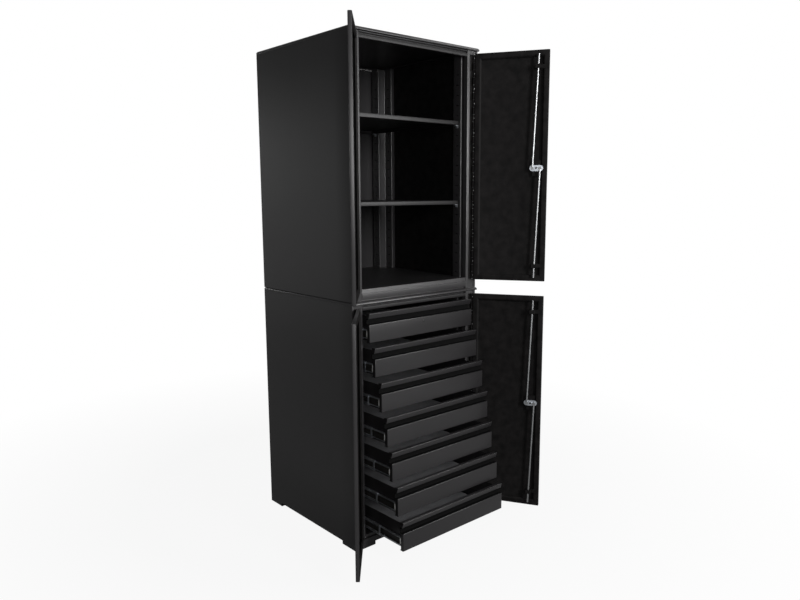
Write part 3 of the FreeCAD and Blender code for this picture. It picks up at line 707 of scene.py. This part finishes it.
class CABINET_OT_drawers(bpy.types.Operator):
    """Fold the drawers' fronts and tubs."""
    bl_idname = "cabinet.drawers"
    bl_label = "Drawers"

    def execute(self, context):
        sheet = settings("sheet").sheet
        across = lambda u, v, level: (level, u, v)
        for name in DRAWERS:
            low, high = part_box(name + "_front")
            y0, y1 = low.y, high.y
            top, lip, face, under = high.z, high.z - 22 * MM, high.z - 43 * MM, y0 + 7 * MM
            path = [(y1, low.z), (y0, low.z), (y0, face), (y1 - sheet, face), (y1 - sheet, lip), (under, lip),
                    (y0, top), (y1, top), (y1, top - 6 * MM)]
            points, faces = swept(path, [low.x, high.x], across)
            for x in (low.x, high.x):
                base = len(points)
                points += [(x, y0, low.z), (x, y0, face), (x, y0 + 15 * MM, face), (x, y0 + 15 * MM, low.z)]
                faces.append([base, base + 1, base + 2, base + 3])
            pieces = [(points, faces, (0, (y0 + y1) / 2, low.z - 1))]
            for way in (-1, 1):
                x = way * (high.x - 0.3 * MM)
                pieces.append(([(x, under, lip), (x, y0, top), (x, y1, top), (x, y1, lip)], [[0, 1, 2, 3]],
                               (way, y0, top)))
            wall = y0 + 4 * MM
            # The groove wall and ledge under each lip take the near-black coat: painted shade.
            sheet_piece(name + "_face", pieces, sheet, "drawer_paint", name, [name + "_front"],
                        deep=("recess_paint", lambda at, normal: at.y > wall and face - 1 * MM < at.z < lip + 0.5 * MM))
            low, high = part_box(name + "_tub")
            tub = rings([(low.x, high.x, low.y, high.y, low.z), (low.x, high.x, low.y, high.y, high.z)],
                        lambda a, b, d: (a, b, d))
            sheet_piece(name + "_tray", [tub + ((0, (low.y + high.y) / 2, low.z - 1),)], sheet, "drawer_paint", name,
                        [name + "_tub"])
            self.mat(name, low, high, low.z + sheet)
        return {"FINISHED"}

    def mat(self, name, low, high, floor):
        edge, pitch, crest = 6 * MM, 8 * MM, 4.5 * MM
        count = int((high.x - low.x - 2 * edge) / pitch)
        start = -count * pitch / 2
        base, valley, top = floor, floor + 1.2 * MM, floor + 2.4 * MM
        outline = [(start, base), (start, valley)]
        for rib in range(count):
            x = start + rib * pitch + (pitch - crest) / 2
            outline += [(x - 0.6 * MM, valley), (x, top), (x + crest, top), (x + crest + 0.6 * MM, valley)]
        outline += [(-start, valley), (-start, base)]
        solid_piece(name + "_mat", [(outline, low.y + edge, high.y - edge, lambda u, v, level: (u, level, v))], "mat",
                    name)


class CABINET_OT_hardware(bpy.types.Operator):
    """Roll the slides, and finish the clips, bolts, pins and locks."""
    bl_idname = "cabinet.hardware"
    bl_label = "Hardware"

    def execute(self, context):
        for node in ("slide_outers", "shelf_clips", "joining_bolts"):
            coat_node(node, "zinc")
        coat_node("hinge_pins", "bright_steel")
        for name in DRAWERS:
            self.slides(name)
        for half in HALVES:
            coat_node(half + "_lock_fittings", "thin_paint")
            coat_node(half + "_lock_cam", "zinc")
            coat_node(half + "_lock_handle", "handle_paint")
            coat_node(half + "_rod_top", "bright_steel")
            coat_node(half + "_rod_bottom", "bright_steel")
        return {"FINISHED"}

    def slides(self, name):
        sheet, lip, bead = 1.5 * MM, 4.5 * MM, 8 * MM
        low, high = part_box(name + "_runners")
        web, rim = high.x - 7.9 * MM, high.x
        path = [(rim, high.z - lip), (rim, high.z), (web, high.z), (web, low.z), (rim, low.z), (rim, low.z + lip)]
        self.channel(name + "_runner_channels", path, low, high, (1, low.y, high.z), name, name + "_runners", sheet)
        low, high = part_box(name + "_mid_slides")
        web, rim, sunk = high.x, high.x - 8.2 * MM, high.x - 2 * MM
        path = [(rim, high.z), (web, high.z), (web, high.z - bead), (sunk, high.z - bead - 2 * MM),
                (sunk, low.z + bead + 2 * MM), (web, low.z + bead), (web, low.z), (rim, low.z)]
        self.channel(name + "_mid_channels", path, low, high, (rim, low.y, high.z + 1), name + "_mid",
                     name + "_mid_slides", sheet)

    def channel(self, name, path, low, high, seen, body, node, sheet):
        islands = []
        for way in (-1, 1):
            points, faces = swept(path, [low.y, high.y], lambda u, v, level: (way * u, level, v))
            islands.append((points, faces, (way * seen[0], seen[1], seen[2])))
        # The webs between the rims take the dark coat: painted shade inside the channels.
        web = ("grease", lambda at, normal: abs(normal.x) > 0.9 and low.z + 5 * MM < at.z < high.z - 5 * MM)
        sheet_piece(name, islands, sheet, "zinc", body, [node], deep=web)


class CABINET_OT_details(bpy.types.Operator):
    """Add the slides' noses and collars, the key barrels, the top drawer's plug and the backs' rivets."""
    bl_idname = "cabinet.details"
    bl_label = "Details"

    def execute(self, context):
        for name in DRAWERS:
            low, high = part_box(name + "_runners")
            middle = (low.z + high.z) / 2
            tall, near, far = 13 * MM, high.x - 6.4 * MM, high.x - 2.6 * MM
            outline = [(near, middle - tall), (far, middle - tall), (far, middle + tall), (near, middle + tall)]
            solid_piece(name + "_noses",
                        [(outline, low.y - 0.5 * MM, low.y + 11 * MM, lambda u, v, level, way=way: (way * u, level, v))
                         for way in (-1, 1)], "nylon", name, 1.2 * MM)
            low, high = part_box(name + "_mid_slides")
            tall, near, far = (high.z - low.z) / 2 + 0.15 * MM, high.x - 1.6 * MM, high.x + 0.2 * MM
            outline = [(near, middle - tall), (far, middle - tall), (far, middle + tall), (near, middle + tall)]
            solid_piece(name + "_collars",
                        [(outline, low.y - 0.3 * MM, low.y + 8 * MM, lambda u, v, level, way=way: (way * u, level, v))
                         for way in (-1, 1)], "zinc", name + "_mid", 0.3 * MM)
        for half in HALVES:
            place = door_place(half, "right")
            hinge, lock = JOINTS[half + "_right_door_hinge"]["pos_m"], JOINTS[half + "_lock_turn"]["pos_m"]
            along = math.hypot(hinge[0] - lock[0], hinge[1] - lock[1])
            along = math.sqrt(along ** 2 - (9 * MM) ** 2)
            barrel = [(7 * MM, -0.5 * MM), (7 * MM, 0.9 * MM), (6.4 * MM, 1.4 * MM), (3.4 * MM, 1.4 * MM),
                      (3.0 * MM, 0.4 * MM)]
            turned_piece(half + "_key_barrel",
                         [(barrel, lambda a, b, h: place(along + a, lock[2] + b, -37.8 * MM - h))], "bright_steel",
                         half + "_lock")
        low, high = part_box("drawer_1_front")
        plug = [(6.2 * MM, -0.2 * MM), (6.2 * MM, 0.5 * MM), (5.4 * MM, 1.0 * MM), (3.4 * MM, 1.0 * MM),
                (2.8 * MM, 0.3 * MM)]
        turned_piece("drawer_1_plug", [(plug, lambda a, b, h: (a, low.y - h, high.z - 60.5 * MM + b))], "handle_paint",
                     "drawer_1")
        self.rivets()
        return {"FINISHED"}

    def rivets(self):
        head = [(3.2 * MM, -0.2 * MM), (3.2 * MM, 0.3 * MM), (2.6 * MM, 0.9 * MM), (1.2 * MM, 1.25 * MM)]
        edge, rows, columns = 12 * MM, 8, 5
        for half in HALVES:
            low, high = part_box(half + "_back")
            left, right, bottom, top = low.x + edge, high.x - edge, low.z + 2 * edge, high.z - 2 * edge
            spots = [(x, bottom + (top - bottom) * row / (rows - 1)) for x in (left, right) for row in range(rows)]
            spots += [(left + (right - left) * column / (columns - 1), z) for z in (bottom, top)
                      for column in range(1, columns - 1)]
            turned_piece(half + "_back_rivets",
                         [(head, lambda a, b, h, x=x, z=z: (x + a, high.y + h, z + b)) for x, z in spots],
                         "carcass_paint", "cabinet", 12)


class CABINET_OT_stage(bpy.types.Operator):
    """Set the floor, light and camera."""
    bl_idname = "cabinet.stage"
    bl_label = "Stage"

    def execute(self, context):
        look = settings("stage")
        scene = context.scene
        scene.view_settings.view_transform = "Standard"
        self.camera(scene, look)
        self.floor(scene)
        self.world(scene)
        middle, wall = Vector((0, -0.4, 1.0)), Vector((-0.3, -0.3, 1.0))
        for name, place, target, size, power in (
                ("right_softbox", (1.8, -3.9, 1.8), middle, (1.4, 0.9), look.key_power),
                ("front_strip", (-0.2, -4.6, 2.2), middle, (0.6, 1.6), look.fill_power),
                ("left_softbox", (-2.1, -3.1, 1.7), middle, (0.8, 0.8), look.left_power),
                ("top_softbox", (0, -1.6, 4.4), middle, (2.5, 2.5), look.top_power),
                ("high_softbox", (2.4, -1.8, 3.4), middle, (1.2, 1.2), look.high_power),
                ("side_panel", (-3.6, 4.5, 0.9), wall, (4.0, 3.0), look.side_power),
                ("rear_softbox", (0.2, 4.6, 1.9), middle, (3.0, 1.0), look.rear_power)):
            self.softbox(scene, name, place, target, size, power)
        return {"FINISHED"}

    def camera(self, scene, look):
        data = bpy.data.cameras.new("camera")
        data.sensor_width = 36
        data.lens = look.lens
        data.clip_end = 50
        camera = bpy.data.objects.new("camera", data)
        scene.collection.objects.link(camera)
        yaw, pitch, roll = look.camera_yaw, look.camera_pitch, look.camera_roll
        ahead = Vector((math.sin(yaw) * math.cos(pitch), math.cos(yaw) * math.cos(pitch), math.sin(pitch)))
        level = Vector((math.cos(yaw), -math.sin(yaw), 0))
        upright = level.cross(ahead)
        right = level * math.cos(roll) + upright * math.sin(roll)
        above = right.cross(ahead)
        turn = Matrix((right, above, -ahead)).transposed().to_4x4()
        camera.matrix_world = Matrix.Translation(Vector(look.camera_place)) @ turn
        scene.camera = camera

    def floor(self, scene):
        mesh = bpy.data.meshes.new("floor")
        reach = 14.0
        mesh.from_pydata([(-reach, -reach, 0), (reach, -reach, 0), (reach, reach, 0), (-reach, reach, 0)], [],
                         [(0, 1, 2, 3)])
        floor = bpy.data.objects.new("floor", mesh)
        scene.collection.objects.link(floor)
        material, tree = new_material("seamless_paper")
        path = add_node(tree, "ShaderNodeLightPath")
        matte = add_node(tree, "ShaderNodeBsdfDiffuse", {"Color": linear("#828282")})
        glow = add_node(tree, "ShaderNodeEmission", {"Color": (1, 1, 1, 1), "Strength": 1.0})
        where = add_node(tree, "ShaderNodeTexCoord").outputs["Object"]
        reached = add_node(tree, "ShaderNodeVectorMath", links={0: where}, operation="LENGTH").outputs["Value"]
        clean = add_node(tree, "ShaderNodeMapRange", {"From Min": 0.9, "From Max": 2.4, "To Min": 0.92, "To Max": 1.0},
                         {"Value": reached}).outputs["Result"]
        shown = add_node(tree, "ShaderNodeMath", links={0: path.outputs["Is Camera Ray"], 1: clean},
                         operation="MULTIPLY")
        share = add_node(tree, "ShaderNodeMath", {1: FLOOR_GLOSSY}, {0: path.outputs["Is Glossy Ray"],
                                                                 2: shown.outputs[0]}, operation="MULTIPLY_ADD")
        mix = add_node(tree, "ShaderNodeMixShader", links={0: share.outputs[0], 1: matte.outputs[0],
                                                           2: glow.outputs[0]})
        add_node(tree, "ShaderNodeOutputMaterial", links={"Surface": mix.outputs[0]})
        mesh.materials.append(material)

    def world(self, scene):
        world = bpy.data.worlds.new("studio")
        scene.world = world
        world.use_nodes = True
        tree = world.node_tree
        tree.nodes.clear()
        path = add_node(tree, "ShaderNodeLightPath")
        seen = add_node(tree, "ShaderNodeMath", links={0: path.outputs["Is Camera Ray"],
                                                       1: path.outputs["Is Transmission Ray"]}, operation="MAXIMUM")
        shiny = add_node(tree, "ShaderNodeMath", {1: SKY_GLOSSY}, {0: path.outputs["Is Glossy Ray"]},
                         operation="MULTIPLY")
        white = add_node(tree, "ShaderNodeMath", links={0: seen.outputs[0], 1: shiny.outputs[0]}, operation="MAXIMUM")
        level = add_node(tree, "ShaderNodeMath", {1: SKY_DIFFUSE}, {0: white.outputs[0]}, operation="MAXIMUM")
        sky = add_node(tree, "ShaderNodeBackground", {"Color": (1, 1, 1, 1)}, {"Strength": level.outputs[0]})
        add_node(tree, "ShaderNodeOutputWorld", links={"Surface": sky.outputs[0]})

    def softbox(self, scene, name, place, target, size, power):
        data = bpy.data.lights.new(name, "AREA")
        data.shape = "RECTANGLE"
        data.size, data.size_y = size
        data.energy = power
        lamp = bpy.data.objects.new(name, data)
        lamp.location = place
        lamp.rotation_euler = (target - Vector(place)).to_track_quat("-Z", "Y").to_euler()
        scene.collection.objects.link(lamp)


STEPS = (CABINET_OT_carcass, CABINET_OT_shelves, CABINET_OT_doors, CABINET_OT_drawers, CABINET_OT_hardware,
         CABINET_OT_details, CABINET_OT_stage)


class CABINET_PT_panel(bpy.types.Panel):
    """The cabinet's steps and settings."""
    bl_label = "Tool cabinet"
    bl_idname = "CABINET_PT_panel"
    bl_space_type = "VIEW_3D"
    bl_region_type = "UI"
    bl_category = "Cabinet"

    def draw(self, context):
        for step in STEPS:
            self.layout.operator(step.bl_idname)
        for group in GROUPS:
            box = self.layout.box()
            for name in GROUPS[group].__annotations__:
                box.prop(settings(group), name)


GROUPS = {"finish": FinishSettings, "sheet": SheetSettings, "stage": StageSettings}


def register():
    for kind in (*GROUPS.values(), *STEPS, CABINET_PT_panel):
        bpy.utils.register_class(kind)
    for name, kind in GROUPS.items():
        setattr(bpy.types.Scene, "cabinet_" + name, bpy.props.PointerProperty(type=kind))


def unregister():
    for name in GROUPS:
        delattr(bpy.types.Scene, "cabinet_" + name)
    for kind in reversed((*GROUPS.values(), *STEPS, CABINET_PT_panel)):
        bpy.utils.unregister_class(kind)


def main():
    register()
    bpy.ops.cabinet.carcass()
    bpy.ops.cabinet.shelves()
    bpy.ops.cabinet.doors()
    bpy.ops.cabinet.drawers()
    bpy.ops.cabinet.hardware()
    bpy.ops.cabinet.details()
    bpy.ops.cabinet.stage()


if __name__ == "__main__":
    main()
